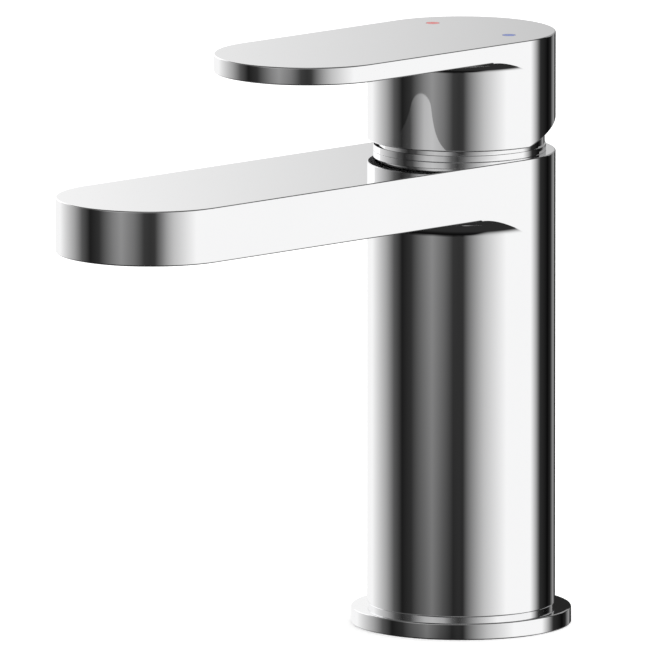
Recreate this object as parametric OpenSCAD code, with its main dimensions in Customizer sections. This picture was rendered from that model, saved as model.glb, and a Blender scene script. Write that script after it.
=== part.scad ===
// Single-lever basin mixer. A round column carries a flat spout with a round
// tip, and a lever whose hub turns and tilts on a ceramic-disc cartridge.
// Z is up and the spout points along -Y. The origin is the centre of the
// base's underside, on the column's axis. Hot water is on -X, cold on +X.

/* [Base] */
// Outside diameter of the base ring
base_ring_d = 52.7; // [51.5:0.1:60]
// Height of the base ring
base_ring_h = 4; // [3:0.1:7]
// Height of the shadow gap between base ring and column
shadow_gap = 0.8; // [0.5:0.1:2]
// How far the neck in the shadow gap stands back from the column
neck_inset = 0.35; // [0.2:0.05:1]
// How far the spigot inside the base ring stands back from the column
spigot_inset = 3; // [2.5:0.1:3.2]
// Share of the base ring's width that the gasket takes
gasket_share = 0.525; // [0.35:0.025:0.6]
// Thickness of the gasket
gasket_t = 1.8; // [1:0.1:2]

/* [Column] */
// Diameter of the column, the lever's hub and the width of the spout
column_d = 45; // [44:0.5:48]
// Height of the body's top face above the worktop
body_h = 114.4; // [105:0.2:160]
// Radius on the visible edges
edge_r = 0.35; // [0.2:0.05:0.5]
// Diameter of the hollow in the column's foot, for the supply hoses
hose_cavity_d = 34; // [31:0.5:34]
// Depth of the hollow below the inlet block
hose_cavity_h = 52; // [40:1:56]

/* [Water inlets and fixing] */
// Height of the brass block that holds the inlets and the fixing stud
inlet_block_h = 16; // [15:0.5:20]
// Distance between the hot and the cold inlet
inlet_spacing = 16; // [15:0.1:16.6]
// How far the inlets lie in front of the column's axis
inlet_offset = 1; // [0.6:0.1:1.4]
// Minor diameter of the inlet thread, M10 x 1
inlet_thread_d = 8.92; // [8:0.02:9]
// Depth of the inlet thread
inlet_thread_h = 12; // [9:0.5:12]
// Distance between the hot and the cold waterway up to the cartridge
port_spacing = 14; // [13.4:0.1:15]
// How far the waterways lie in front of the column's axis
port_offset = 5; // [4.6:0.1:5.5]
// Diameter of the waterways
port_d = 6.4; // [5.4:0.1:6.6]
// Minor diameter of the fixing stud's thread, M8
stud_thread_d = 6.7; // [5:0.1:7]
// How far the fixing stud lies behind the column's axis
stud_offset = 10.5; // [9.5:0.1:11]
// Thickness of the ring that keeps the inlet block in place
snap_ring_t = 1.2; // [1:0.1:1.6]

/* [Spout] */
// Distance from the column's axis to the centre of the spout's round tip
spout_reach = 102.4; // [85:0.2:150]
// Thickness of the spout
spout_t = 13.15; // [13:0.05:16]
// Radius of the fillet between the spout's underside and the column
spout_fillet_r = 3.75; // [2:0.05:6]
// Thickness of the spout's bottom wall
spout_floor_t = 2.65; // [2:0.05:2.9]
// Thickness of the spout's top wall over the waterway
spout_roof_t = 3; // [2.5:0.05:3.5]
// Width of the waterway in the spout
channel_w = 24; // [16:0.5:30]
// Width of the passage between the cartridge chamber and the waterway
channel_port_w = 18; // [12:0.5:20]

/* [Aerator] */
// Outside diameter of the aerator, M24 x 1
aerator_d = 23.9; // [21:0.1:26]
// Height of the aerator's ring
aerator_h = 6.9; // [6:0.1:7.2]
// How far the aerator sits above the spout's underside
aerator_recess = 0.5; // [0.2:0.1:1]
// Thickness of the aerator's flat seal
aerator_seal_t = 1.2; // [0.8:0.1:1.4]
// Wall of the aerator's ring
aerator_wall = 1.75; // [1.4:0.05:2.2]
// Thickness of the honeycomb
honeycomb_h = 3.4; // [2:0.1:4]
// Width across the flats of a honeycomb cell
cell_w = 1.9; // [1.5:0.1:2.6]
// Thickness of the walls between the honeycomb's cells
cell_wall = 0.5; // [0.4:0.05:0.9]
// Thickness of the filter sieve
screen_t = 0.8; // [0.6:0.1:1.2]
// Diameter of the sieve's holes
screen_hole_d = 1.3; // [0.8:0.05:1.4]
// Distance between the sieve's holes
screen_pitch = 2.4; // [1.8:0.1:3]
// Number of key notches in the aerator's rim
key_notches = 12; // [6:1:16]

/* [Cartridge] */
// Outside diameter of the cartridge
cartridge_d = 34.8; // [34:0.1:35.2]
// Wall of the cartridge's housing
housing_wall = 2.3; // [2:0.05:2.4]
// Height of the cartridge base's flange
base_flange_h = 3; // [2.6:0.1:4]
// Height of the cartridge base's plug inside the housing
base_plug_h = 2.5; // [2.2:0.1:4]
// Thickness of the fixed ceramic disc
fixed_disc_t = 4.5; // [3.5:0.1:6]
// Diameter of the fixed ceramic disc
fixed_disc_d = 27; // [26:0.1:28]
// Thickness of the moving ceramic disc
moving_disc_t = 5; // [4:0.1:6]
// Diameter of the moving ceramic disc
moving_disc_d = 23; // [22.4:0.1:23.2]
// Thickness of the disc carrier's plate
carrier_plate_h = 2.5; // [2:0.1:3]
// Width of the disc carrier's guide block
carrier_block_w = 12; // [11:0.1:12.6]
// Distance from the stem's pin down to the centre of its knuckle
stem_arm = 9; // [8:0.1:9.4]
// Radius of the stem's knuckle
knuckle_r = 3; // [2.6:0.1:3.2]
// How far the stem tilts when the lever is lifted, in degrees
lift_angle = 22; // [15:0.5:22]
// Largest turn of the lever to each side, in degrees
turn_angle = 50; // [30:1:55]
// Diameter of the rotor's neck
rotor_neck_d = 20; // [19.6:0.1:21]
// Wall of the housing's neck
housing_neck_wall = 2.4; // [2:0.1:2.6]
// Height of the housing's neck above its shoulder
housing_neck_h = 6.8; // [6.4:0.1:7]
// Diameter of the pin that the stem tilts on
pin_d = 3.5; // [3:0.1:4]
// Side of the square stem
stem_w = 8; // [7.6:0.1:8]
// Length of the stem above its pin
stem_l = 23.5; // [20:0.1:24]
// Number of teeth on the temperature-limit ring
limit_teeth = 24; // [12:1:36]
// Thickness of the temperature-limit ring
limit_ring_t = 1.4; // [1:0.1:1.6]

/* [Nut and dome] */
// Depth of the thread between the nut and the body
nut_thread_h = 4.4; // [4:0.1:5]
// Height of the nut above the body's top face
nut_head_h = 3.8; // [3:0.1:4]
// Number of key notches in the nut's head
nut_notches = 6; // [4:1:8]
// Height of the cover ring under the dome
cover_ring_h = 1.6; // [1:0.1:2]
// How far the cover ring stands out past the dome
cover_ring_step = 0.74; // [0.3:0.02:1]
// How far the cover ring's edge is set forward, clear of the hub's rear foot
cover_ring_shift = 0.6; // [0:0.05:0.7]
// Wall of the dome
dome_wall = 1.4; // [1:0.05:1.6]
// Diameter of the opening in the dome's top
dome_opening_d = 30; // [29.6:0.1:32]

/* [Lever] */
// Height of the hub's lower edge above the body's top face
hub_gap = 2.75; // [2.6:0.05:4]
// Height of the lever's top face above the body's top face
lever_rise = 28.6; // [28.2:0.1:34]
// Thickness of the lever plate
lever_t = 4.27; // [3.5:0.01:6]
// Distance from the hub's axis to the centre of the lever's round tip
lever_reach = 50.7; // [40:0.1:90]
// Radius of the fillet between the lever plate and the hub
lever_fillet_r = 2.65; // [1.5:0.05:5]
// Wall of the hub
hub_wall = 1.9; // [1.6:0.05:2.2]
// Thickness of the hub's roof
hub_roof_t = 5; // [4.4:0.1:5.2]
// Slope of the relief under the hub's rear, in degrees
relief_angle = 18.5; // [18:0.5:22]
// How far behind the axis the relief starts
relief_start = 0.8; // [0:0.1:2]
// Diameter of the socket that holds the stem
socket_d = 14; // [13:0.1:14.2]
// Height of the stem's pin to the lower edge of the socket
socket_lift = 12.5; // [12.3:0.1:14]
// Diameter of the set screw, M5
set_screw_d = 5; // [4:0.1:5]
// Length of the set screw
set_screw_l = 4; // [3:0.1:4]
// Height of the set screw above the stem's pin
set_screw_lift = 19.5; // [19:0.1:20]
// Diameter of the plug over the set screw
plug_d = 6.6; // [5.6:0.1:7]
// Diameter of the hot and cold dots
dot_d = 3.2; // [2:0.1:5]
// Distance between the hot and the cold dot
dot_spacing = 26; // [16:0.1:28]
// How far the dots lie behind the hub's axis
dot_offset = 3.1; // [0:0.05:8]
// Depth of the dots in the lever
dot_depth = 0.8; // [0.5:0.1:1.2]

/* [Hidden] */
$fn = 96;

chrome = "#d4d7da";
cast_brass = "#c9a75c";
steel = "#9ea3a8";
white_plastic = "#e8e6df";
grey_plastic = "#8f9498";
ceramic = "#f3efe2";
rubber = "#2b2b2d";
hot_red = "#c8202a";
cold_blue = "#2456b8";

// Clearances, each on the radius or on one side
fit = 0.05;         // threads, plugs and pieces that don't move in use
running = 0.1;      // pieces that turn or slide on each other
loose = 0.3;        // pieces that pass each other
eps = 1;            // how far a cutting tool runs past a face

// Body
column_r = column_d / 2;
base_ring_r = base_ring_d / 2;
column_foot_z = base_ring_h + shadow_gap;
neck_r = column_r - neck_inset;
spigot_r = column_r - spigot_inset;
gasket_r = (spigot_r + base_ring_r) / 2;
gasket_w = gasket_share * (base_ring_r - spigot_r);
spout_z = body_h - spout_t;
cavity_r = hose_cavity_d / 2;
block_r = cavity_r - fit;
block_top_z = hose_cavity_h + inlet_block_h;
snap_groove_r = cavity_r + 1;
snap_ring_w = 2.4;

// Cartridge, from the seat up
cartridge_r = cartridge_d / 2;
knuckle_floor = 1.6;
carrier_rise = knuckle_floor + loose + knuckle_r;
shoulder_above_pin = 0;
skirt_below_pin = 1.8;
pin_above_seat = base_flange_h + base_plug_h + fixed_disc_t + moving_disc_t
    + carrier_rise + stem_arm;
shoulder_z = body_h - nut_thread_h;
pin_z = shoulder_z - shoulder_above_pin;
seat_z = pin_z - pin_above_seat;
plug_z = seat_z + base_flange_h;
fixed_disc_z = plug_z + base_plug_h;
moving_disc_z = fixed_disc_z + fixed_disc_t;
carrier_z = moving_disc_z + moving_disc_t;
knuckle_z = pin_z - stem_arm;
carrier_top_z = knuckle_z + knuckle_r * 0.6;
disc_travel = stem_arm * lift_angle * PI / 180;
housing_bore_r = cartridge_r - housing_wall;
base_plug_r = housing_bore_r - running;
rotor_skirt_z = carrier_z + carrier_plate_h + loose;
rotor_skirt_top_z = pin_z - skirt_below_pin;
rotor_neck_r = rotor_neck_d / 2;
rotor_top_z = shoulder_z + housing_neck_h - running;
housing_neck_bore_r = rotor_neck_r + running;
housing_neck_r = housing_neck_bore_r + housing_neck_wall;
housing_top_z = shoulder_z + housing_neck_h;
stop_r = housing_neck_bore_r + 1.3;
stop_half_angle = 11;
stop_z = shoulder_z + 3.6;
inlet_angle = atan(port_spacing / 2 / port_offset);
kidney_r = 7.4;
kidney_w = 4;
kidney_half_angle = 32;
outlet_offset = 4.2;
outlet_r = 3.5;
pocket_half = 3.6;
pocket_r = 3.3;
notch_w = 4.2;
notch_depth = 1.5;
locating_pin_d = 4;
locating_pin_l = 3;
locating_pin_x = 11.5;
locating_pin_y = 7;
seal_w = 1.5;
seal_t = 1.4;
oring_r = 0.8;
oring_z = shoulder_z - 1.5;

// Cartridge chamber in the body
land_h = 3;
chamber_gap = 1.6;
land_r = cartridge_r + running;
chamber_r = cartridge_r + chamber_gap;
chamber_top_z = shoulder_z - land_h;
nut_r = land_r + 1.05;
nut_bore_r = housing_neck_r + loose;
nut_head_r = nut_r - 0.55;

// Waterway in the spout
channel_z = spout_z + spout_floor_t;
channel_top_z = body_h - spout_roof_t;
channel_start = chamber_r + 5;
tip_step = 4;

// Aerator
aerator_r = aerator_d / 2;
aerator_bore_r = aerator_r + fit;
aerator_z = spout_z + aerator_recess;
aerator_top_z = aerator_z + aerator_h;
aerator_ledge_z = aerator_top_z + aerator_seal_t;
aerator_chamber_r = aerator_r - 2.4;
aerator_cup_r = aerator_r - aerator_wall;
aerator_lip = 0.8;
insert_r = aerator_cup_r - fit;
cell_pitch = cell_w + cell_wall;
insert_z = aerator_z + aerator_lip;
screen_z = insert_z + honeycomb_h + 1;
notch_key_w = 1.6;

// Hub, dome and lever
hub_z = body_h + hub_gap;
lever_z = body_h + lever_rise;
plate_z = lever_z - lever_t;
hub_bore_r = column_r - hub_wall;
hub_roof_z = lever_z - hub_roof_t;
hub_swing_r = sqrt(pow(hub_bore_r, 2) + pow(hub_z - pin_z, 2));
dome_gap = 0.4;
dome_sphere_r = hub_swing_r - dome_gap;
dome_r = hub_bore_r - 0.7;
dome_z = body_h + cover_ring_h;
dome_bore_r = nut_head_r + running;
dome_opening_r = dome_opening_d / 2;
dome_inner_sphere_r = dome_sphere_r - dome_wall;
cover_ring_r = dome_r + cover_ring_step;
socket_r = socket_d / 2;
socket_z = pin_z + socket_lift;
stem_half = stem_w / 2;
stem_top_z = pin_z + stem_l;
arm_w = 2 * (knuckle_r - 0.8);
set_screw_z = pin_z + set_screw_lift;
plug_depth = hub_wall + 1;
plug_inset = 0.15;

// ---------- shared shapes ----------

// Half outline of a round piece whose outer edges are rounded
module rounded_outline(radius, low, high, edge = edge_r) {
    translate([0, low]) square([radius - edge, high - low]);
    translate([0, low + edge]) square([radius, high - low - 2 * edge]);
    for (y = [low + edge, high - edge])
        translate([radius - edge, y]) circle(edge);
}

// Round piece with rounded edges, on the Z axis
module rounded_disc(radius, low, high, edge = edge_r) {
    rotate_extrude() rounded_outline(radius, low, high, edge);
}

// Arm that runs from the Z axis towards -Y and ends in a half round
module round_ended_arm(radius, reach, low, high) {
    rotate([90, 0, 0]) linear_extrude(reach) {
        rounded_outline(radius, low, high);
        mirror([1, 0]) rounded_outline(radius, low, high);
    }
    translate([0, -reach, 0]) rounded_disc(radius, low, high);
}

// Concave fillet round a column, under the front half of an arm as wide as it
module arm_fillet(radius, top, fillet) {
    intersection() {
        rotate_extrude() difference() {
            translate([radius - 1, top - fillet]) square([1 + fillet, fillet + 1]);
            translate([radius + fillet, top - fillet]) circle(fillet);
        }
        translate([-radius, -radius - fillet, top - fillet])
            cube([2 * radius, radius + fillet, fillet + edge_r]);
    }
}

// Flat ring
module ring(outer, inner, low, height) {
    translate([0, 0, low]) difference() {
        cylinder(r = outer, h = height);
        translate([0, 0, -eps]) cylinder(r = inner, h = height + 2 * eps);
    }
}

// Repeats a piece on the hot and on the cold side
module hot_and_cold(spacing) {
    for (side = [-1, 1]) translate([side * spacing / 2, 0, 0]) children();
}

// Sector of the plane round +Y, for cutting arcs
module sector(half_angle, reach) {
    polygon([
        [0, 0],
        for (a = [-half_angle : half_angle / 4 : half_angle])
            [reach * sin(a), reach * cos(a)]
    ]);
}

// Curved port, centred on an angle from -Y
module kidney(angle) {
    rotate(180 + angle) intersection() {
        difference() {
            circle(kidney_r + kidney_w / 2);
            circle(kidney_r - kidney_w / 2);
        }
        sector(kidney_half_angle, 2 * kidney_r);
    }
}

// Points of a hexagonal grid that lie within a circle
function hex_grid(pitch, reach) = [
    for (row = [-ceil(reach / pitch) - 1 : ceil(reach / pitch) + 1])
        for (col = [-ceil(reach / pitch) - 1 : ceil(reach / pitch) + 1])
            let (x = (col + (row % 2 == 0 ? 0 : 0.5)) * pitch, y = row * pitch * sqrt(3) / 2)
                if (norm([x, y]) <= reach) [x, y]
];

// ---------- body ----------

module body_casting() {
    rounded_disc(column_r, column_foot_z, body_h);
    round_ended_arm(column_r, spout_reach, spout_z, body_h);
    arm_fillet(column_r, spout_z, spout_fillet_r);
    translate([0, 0, base_ring_h]) cylinder(r = neck_r, h = shadow_gap + edge_r);
    cylinder(r = spigot_r, h = base_ring_h + edge_r);
}

// Hollow foot that holds the inlet block, with the waterways up to the seat
module hose_cavity() {
    translate([0, 0, -eps]) cylinder(r = cavity_r, h = block_top_z + eps);
    translate([0, 0, hose_cavity_h - snap_ring_t - fit])
        cylinder(r = snap_groove_r, h = snap_ring_t + 2 * fit);
    translate([0, -port_offset, block_top_z - eps]) hot_and_cold(port_spacing)
        cylinder(d = port_d, h = seat_z - block_top_z + 2 * eps);
}

// Seat, mixing chamber, sealing land and nut thread, bored from the top
module cartridge_bore() {
    translate([0, 0, seat_z]) cylinder(r = land_r, h = body_h - seat_z + eps);
    translate([0, 0, plug_z]) cylinder(r = chamber_r, h = chamber_top_z - plug_z);
    translate([0, 0, shoulder_z]) cylinder(r = nut_r, h = nut_thread_h + eps);
    translate([0, locating_pin_y, seat_z - locating_pin_l - loose])
        hot_and_cold(2 * locating_pin_x)
            cylinder(d = locating_pin_d + 2 * fit, h = locating_pin_l + loose + eps);
}

module spout_waterway() {
    port_top = min(chamber_top_z, channel_top_z);
    step_y = spout_reach - aerator_bore_r - tip_step;
    translate([-channel_port_w / 2, -channel_start - eps, channel_z])
        cube([channel_port_w, channel_start + eps - cartridge_r, port_top - channel_z]);
    translate([-channel_w / 2, -step_y, channel_z])
        cube([channel_w, step_y - channel_start, channel_top_z - channel_z]);
    // shallow last stretch over the aerator's thread
    translate([-aerator_chamber_r * 0.8, -spout_reach, aerator_ledge_z])
        cube([aerator_chamber_r * 1.6, spout_reach - step_y + eps, channel_top_z - aerator_ledge_z]);
    translate([0, -spout_reach, aerator_ledge_z])
        cylinder(r = aerator_chamber_r, h = channel_top_z - aerator_ledge_z);
    translate([0, -spout_reach, spout_z - eps])
        cylinder(r = aerator_bore_r, h = aerator_ledge_z - spout_z + eps);
}

module body() {
    color(chrome) difference() {
        body_casting();
        hose_cavity();
        cartridge_bore();
        spout_waterway();
    }
}

module base_ring() {
    color(chrome) difference() {
        rounded_disc(base_ring_r, 0, base_ring_h);
        translate([0, 0, -eps]) cylinder(r = spigot_r + fit, h = base_ring_h + 2 * eps);
        ring(gasket_r + gasket_w / 2 + fit, gasket_r - gasket_w / 2 - fit, -eps, gasket_t + fit + eps);
    }
}

module base_gasket() {
    color(rubber) ring(gasket_r + gasket_w / 2, gasket_r - gasket_w / 2, 0, gasket_t);
}

// ---------- inlet block ----------

// Ring seals round the two waterways
module port_rings(low) {
    translate([0, -port_offset, 0]) hot_and_cold(port_spacing)
        ring(port_d / 2 + seal_w, port_d / 2, low, seal_t);
}

module port_ring_grooves(low) {
    translate([0, -port_offset, low]) hot_and_cold(port_spacing)
        cylinder(r = port_d / 2 + seal_w + fit, h = seal_t + eps);
}

module inlet_block() {
    color(cast_brass) difference() {
        translate([0, 0, hose_cavity_h]) cylinder(r = block_r, h = inlet_block_h);
        translate([0, -inlet_offset, hose_cavity_h - eps]) hot_and_cold(inlet_spacing)
            cylinder(d = inlet_thread_d, h = inlet_thread_h + eps);
        // each inlet's roof opens into the waterway beside it
        translate([0, -port_offset, hose_cavity_h + inlet_thread_h - fit]) hot_and_cold(port_spacing)
            cylinder(d = port_d, h = inlet_block_h);
        port_ring_grooves(block_top_z - seal_t);
        translate([0, stud_offset, hose_cavity_h - eps])
            cylinder(d = stud_thread_d, h = inlet_block_h + 2 * eps);
    }
}

module block_seals() {
    color(rubber) port_rings(block_top_z - seal_t);
}

// Split ring in the column's groove, under the block
module snap_ring() {
    gap_w = 8;
    color(steel) difference() {
        ring(snap_groove_r - fit, snap_groove_r - snap_ring_w, hose_cavity_h - snap_ring_t, snap_ring_t);
        translate([-gap_w / 2, 0, hose_cavity_h - 2 * snap_ring_t])
            cube([gap_w, snap_groove_r, 3 * snap_ring_t]);
    }
}

// ---------- cartridge ----------

module cartridge_base() {
    lug_r = base_plug_r;
    color(grey_plastic) difference() {
        union() {
            translate([0, 0, seat_z]) cylinder(r = cartridge_r, h = base_flange_h);
            translate([0, 0, plug_z]) cylinder(r = base_plug_r, h = base_plug_h);
            // lugs that keep the fixed disc from turning
            intersection() {
                translate([0, 0, plug_z]) cylinder(r = lug_r, h = base_plug_h + fixed_disc_t - loose);
                for (side = [0, 180]) rotate(side)
                    translate([fixed_disc_d / 2 - notch_depth + fit, -notch_w / 2 + fit, plug_z])
                        cube([lug_r, notch_w - 2 * fit, base_plug_h + fixed_disc_t]);
            }
            translate([0, locating_pin_y, seat_z - locating_pin_l])
                hot_and_cold(2 * locating_pin_x)
                    cylinder(d = locating_pin_d, h = locating_pin_l + 1);
        }
        translate([0, -port_offset, seat_z - eps]) hot_and_cold(port_spacing)
            cylinder(d = port_d, h = base_flange_h + base_plug_h + 2 * eps);
        port_ring_grooves(seat_z - eps);
        port_ring_grooves(fixed_disc_z - seal_t);
        // outlet pocket and the side outlet at the rear
        translate([0, outlet_offset, plug_z]) cylinder(r = outlet_r, h = base_plug_h + eps);
        translate([-outlet_r, outlet_offset, plug_z]) cube([2 * outlet_r, cartridge_r, base_plug_h - 0.8]);
    }
}

module port_seals() {
    color(rubber) port_rings(seat_z);
}

module disc_seals() {
    color(rubber) port_rings(fixed_disc_z - seal_t);
}

// Notches on both sides of a ceramic disc
module disc_notches(disc_d, low, height) {
    for (side = [0, 180]) rotate(side)
        translate([disc_d / 2 - notch_depth, -notch_w / 2, low])
            cube([2 * notch_depth, notch_w, height]);
}

module fixed_disc() {
    color(ceramic) difference() {
        translate([0, 0, fixed_disc_z]) cylinder(d = fixed_disc_d, h = fixed_disc_t);
        disc_notches(fixed_disc_d, fixed_disc_z - eps, fixed_disc_t + 2 * eps);
        translate([0, 0, fixed_disc_z - eps]) linear_extrude(fixed_disc_t + 2 * eps) {
            kidney(-inlet_angle);
            kidney(inlet_angle);
            translate([0, outlet_offset]) circle(outlet_r);
        }
    }
}

// The pocket underneath joins the inlets to the outlet once the disc slides forward
module moving_disc() {
    pocket_t = moving_disc_t / 2;
    color(ceramic) difference() {
        translate([0, 0, moving_disc_z]) cylinder(d = moving_disc_d, h = moving_disc_t);
        disc_notches(moving_disc_d, carrier_z - moving_disc_t * 0.6, moving_disc_t);
        translate([0, outlet_offset, moving_disc_z - eps]) linear_extrude(pocket_t + eps) {
            square([2 * pocket_half, 2 * pocket_r], center = true);
            for (side = [-1, 1]) translate([side * pocket_half, 0]) circle(pocket_r);
        }
    }
}

module disc_carrier() {
    disc_r = moving_disc_d / 2;
    block = carrier_block_w / 2;
    color(white_plastic) difference() {
        union() {
            translate([0, 0, carrier_z]) cylinder(r = disc_r, h = carrier_plate_h);
            translate([-block, -block, carrier_z])
                cube([2 * block, 2 * block, carrier_top_z - carrier_z]);
            // feet in the moving disc's notches
            intersection() {
                translate([0, 0, carrier_z - moving_disc_t * 0.5]) cylinder(r = disc_r, h = moving_disc_t);
                for (side = [0, 180]) rotate(side)
                    translate([disc_r - notch_depth + fit, -notch_w / 2 + fit, carrier_z - moving_disc_t * 0.5])
                        cube([disc_r, notch_w - 2 * fit, moving_disc_t * 0.5 + 1]);
            }
        }
        // slot for the stem's knuckle
        translate([-stem_half - running, -knuckle_r - 2 * running, carrier_z + knuckle_floor])
            cube([stem_w + 2 * running, 2 * (knuckle_r + 2 * running), carrier_top_z]);
    }
}

// Slot for the stem, wide enough for its whole tilt
module stem_slot() {
    half = stem_half + running;
    low_reach = disc_travel + knuckle_r + 1.2;
    high_reach = (rotor_top_z - pin_z) * tan(lift_angle) + stem_half / cos(lift_angle) + 0.7;
    translate([-half, -low_reach, carrier_z]) cube([2 * half, low_reach + half, pin_z + 3 - carrier_z]);
    translate([-half, -half, pin_z - 3.4]) cube([2 * half, half + high_reach, rotor_top_z]);
}

module cartridge_rotor() {
    block = carrier_block_w / 2;
    color(white_plastic) difference() {
        union() {
            translate([0, 0, rotor_skirt_z])
                cylinder(r = housing_bore_r - running, h = rotor_skirt_top_z - rotor_skirt_z);
            translate([0, 0, rotor_skirt_z]) cylinder(r = rotor_neck_r, h = rotor_top_z - rotor_skirt_z);
            // stop lug at the rear
            translate([0, 0, stop_z + running]) linear_extrude(rotor_top_z - stop_z - running)
                intersection() {
                    circle(stop_r - running);
                    sector(stop_half_angle, 2 * stop_r);
                }
        }
        // pocket that guides the disc carrier
        translate([-block - running, -block - disc_travel - loose, rotor_skirt_z - eps])
            cube([2 * (block + running), 2 * (block + loose) + disc_travel,
                  carrier_top_z + loose - rotor_skirt_z + eps]);
        stem_slot();
        translate([0, 0, pin_z]) rotate([0, 90, 0])
            cylinder(d = pin_d + 2 * 0.02, h = 3 * rotor_neck_r, center = true);
    }
}

module stem_pin() {
    pin_l = 2 * (rotor_neck_r - loose - 0.2);
    color(steel) translate([0, 0, pin_z]) rotate([0, 90, 0])
        cylinder(d = pin_d, h = pin_l, center = true);
}

// Square stem above the pin, narrower arm below it, knuckle at the foot
module stem() {
    square_z = pin_z - 3;
    color(steel) difference() {
        union() {
            translate([-stem_half, -stem_half, square_z]) cube([stem_w, stem_w, stem_top_z - square_z]);
            translate([-stem_half, -arm_w / 2, knuckle_z]) cube([stem_w, arm_w, stem_arm]);
            translate([0, 0, knuckle_z]) rotate([0, 90, 0])
                cylinder(r = knuckle_r, h = stem_w, center = true);
        }
        translate([0, 0, pin_z]) rotate([0, 90, 0])
            cylinder(d = pin_d + 2 * fit, h = 2 * stem_w, center = true);
    }
}

module cartridge_housing() {
    window_w = 2 * outlet_r + 1;
    color(grey_plastic) difference() {
        union() {
            translate([0, 0, plug_z]) cylinder(r = cartridge_r, h = shoulder_z - plug_z);
            translate([0, 0, plug_z]) cylinder(r = housing_neck_r, h = housing_top_z - plug_z);
        }
        translate([0, 0, plug_z - eps])
            cylinder(r = housing_bore_r, h = rotor_skirt_top_z + running - plug_z + eps);
        translate([0, 0, plug_z]) cylinder(r = housing_neck_bore_r, h = housing_top_z);
        // side outlet for the mixed water
        translate([-window_w / 2, outlet_offset, plug_z - eps])
            cube([window_w, cartridge_r, base_plug_h + eps]);
        // recess in which the rotor's stop lug turns
        translate([0, 0, stop_z]) linear_extrude(housing_top_z) intersection() {
            circle(stop_r);
            sector(turn_angle + stop_half_angle + 1.5, 2 * stop_r);
        }
        ring(cartridge_r + eps, cartridge_r - 2 * oring_r + running, oring_z - oring_r - fit, 2 * (oring_r + fit));
    }
}

module housing_seal() {
    color(rubber) rotate_extrude() translate([land_r - oring_r - 0.01, oring_z]) circle(oring_r - 0.02);
}

// Ring of teeth that can be moved round to limit the hottest setting
module limit_ring() {
    tooth_h = 0.5;
    rim = housing_neck_r - tooth_h;
    tooth = 180 / limit_teeth * 0.5;
    color(hot_red) translate([0, 0, housing_top_z]) linear_extrude(limit_ring_t) difference() {
        union() {
            circle(rim);
            for (i = [0 : limit_teeth - 1]) rotate(i * 360 / limit_teeth) polygon([
                [-rim * sin(tooth), rim - tooth_h], [rim * sin(tooth), rim - tooth_h],
                [rim * sin(tooth) * 0.6, housing_neck_r - 0.05],
                [-rim * sin(tooth) * 0.6, housing_neck_r - 0.05]
            ]);
        }
        circle(rotor_neck_r - 0.8);
    }
}

// ---------- nut and dome ----------

module retaining_nut() {
    notch_w = 5;
    color(cast_brass) difference() {
        union() {
            translate([0, 0, shoulder_z]) cylinder(r = nut_r - fit, h = nut_thread_h);
            translate([0, 0, shoulder_z]) cylinder(r = nut_head_r, h = nut_thread_h + nut_head_h);
        }
        translate([0, 0, shoulder_z - eps]) cylinder(r = nut_bore_r, h = nut_thread_h + nut_head_h + 2 * eps);
        for (i = [0 : nut_notches - 1]) rotate(i * 360 / nut_notches)
            translate([nut_bore_r - eps, -notch_w / 2, body_h + nut_head_h - 2])
                cube([2.6 + eps, notch_w, 2 + eps]);
    }
}

module cover_ring() {
    color(chrome) difference() {
        translate([0, -cover_ring_shift, 0]) rounded_disc(cover_ring_r, body_h, dome_z, 0.15);
        translate([0, 0, body_h - eps]) cylinder(r = dome_bore_r, h = cover_ring_h + 2 * eps);
    }
}

// Round wall that closes in a sphere about the stem's pin, so the hub clears it
module dome_cover() {
    cap_top_z = pin_z + sqrt(pow(dome_sphere_r, 2) - pow(dome_opening_r, 2));
    color(chrome) difference() {
        intersection() {
            translate([0, 0, dome_z]) cylinder(r = dome_r, h = cap_top_z - dome_z);
            translate([0, 0, pin_z]) sphere(dome_sphere_r);
        }
        translate([0, 0, dome_z - eps]) cylinder(r = dome_opening_r, h = cap_top_z);
        intersection() {
            translate([0, 0, dome_z - eps]) cylinder(r = dome_bore_r, h = cap_top_z);
            translate([0, 0, pin_z]) sphere(dome_inner_sphere_r);
        }
    }
}

// ---------- lever ----------

// Hollow hub and plate in one casting, its rear foot cut away for the tilt
module lever_shell() {
    difference() {
        union() {
            rounded_disc(column_r, hub_z, lever_z);
            round_ended_arm(column_r, lever_reach, plate_z, lever_z);
            arm_fillet(column_r, plate_z, lever_fillet_r);
        }
        translate([0, 0, hub_z - eps]) cylinder(r = hub_bore_r, h = hub_roof_z - hub_z + eps);
        translate([-2 * column_r, relief_start, hub_z]) rotate([relief_angle, 0, 0])
            translate([0, 0, -column_d]) cube([2 * column_d, 2 * column_d, column_d]);
    }
}

module lever_handle() {
    color(chrome) difference() {
        union() {
            lever_shell();
            translate([0, 0, socket_z]) cylinder(r = socket_r, h = hub_roof_z - socket_z + eps);
        }
        translate([-stem_half - fit, -stem_half - fit, socket_z - eps])
            cube([stem_w + 2 * fit, stem_w + 2 * fit, stem_top_z + loose - socket_z + eps]);
        translate([0, 0, set_screw_z]) rotate([-90, 0, 0])
            cylinder(d = set_screw_d, h = socket_r + eps);
        translate([0, hub_bore_r - eps, set_screw_z]) rotate([-90, 0, 0])
            cylinder(d = plug_d, h = hub_wall + 2 * eps);
        translate([0, dot_offset, lever_z - dot_depth]) hot_and_cold(dot_spacing)
            cylinder(d = dot_d + 2 * fit, h = dot_depth + eps);
    }
}

module set_screw() {
    socket_af = 2.5;
    color(steel) translate([0, stem_half + fit, set_screw_z]) rotate([-90, 0, 0]) difference() {
        cylinder(d = set_screw_d - 2 * fit, h = set_screw_l);
        translate([0, 0, set_screw_l - 2]) cylinder(d = socket_af / cos(30), h = 2 + eps, $fn = 6);
    }
}

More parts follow.
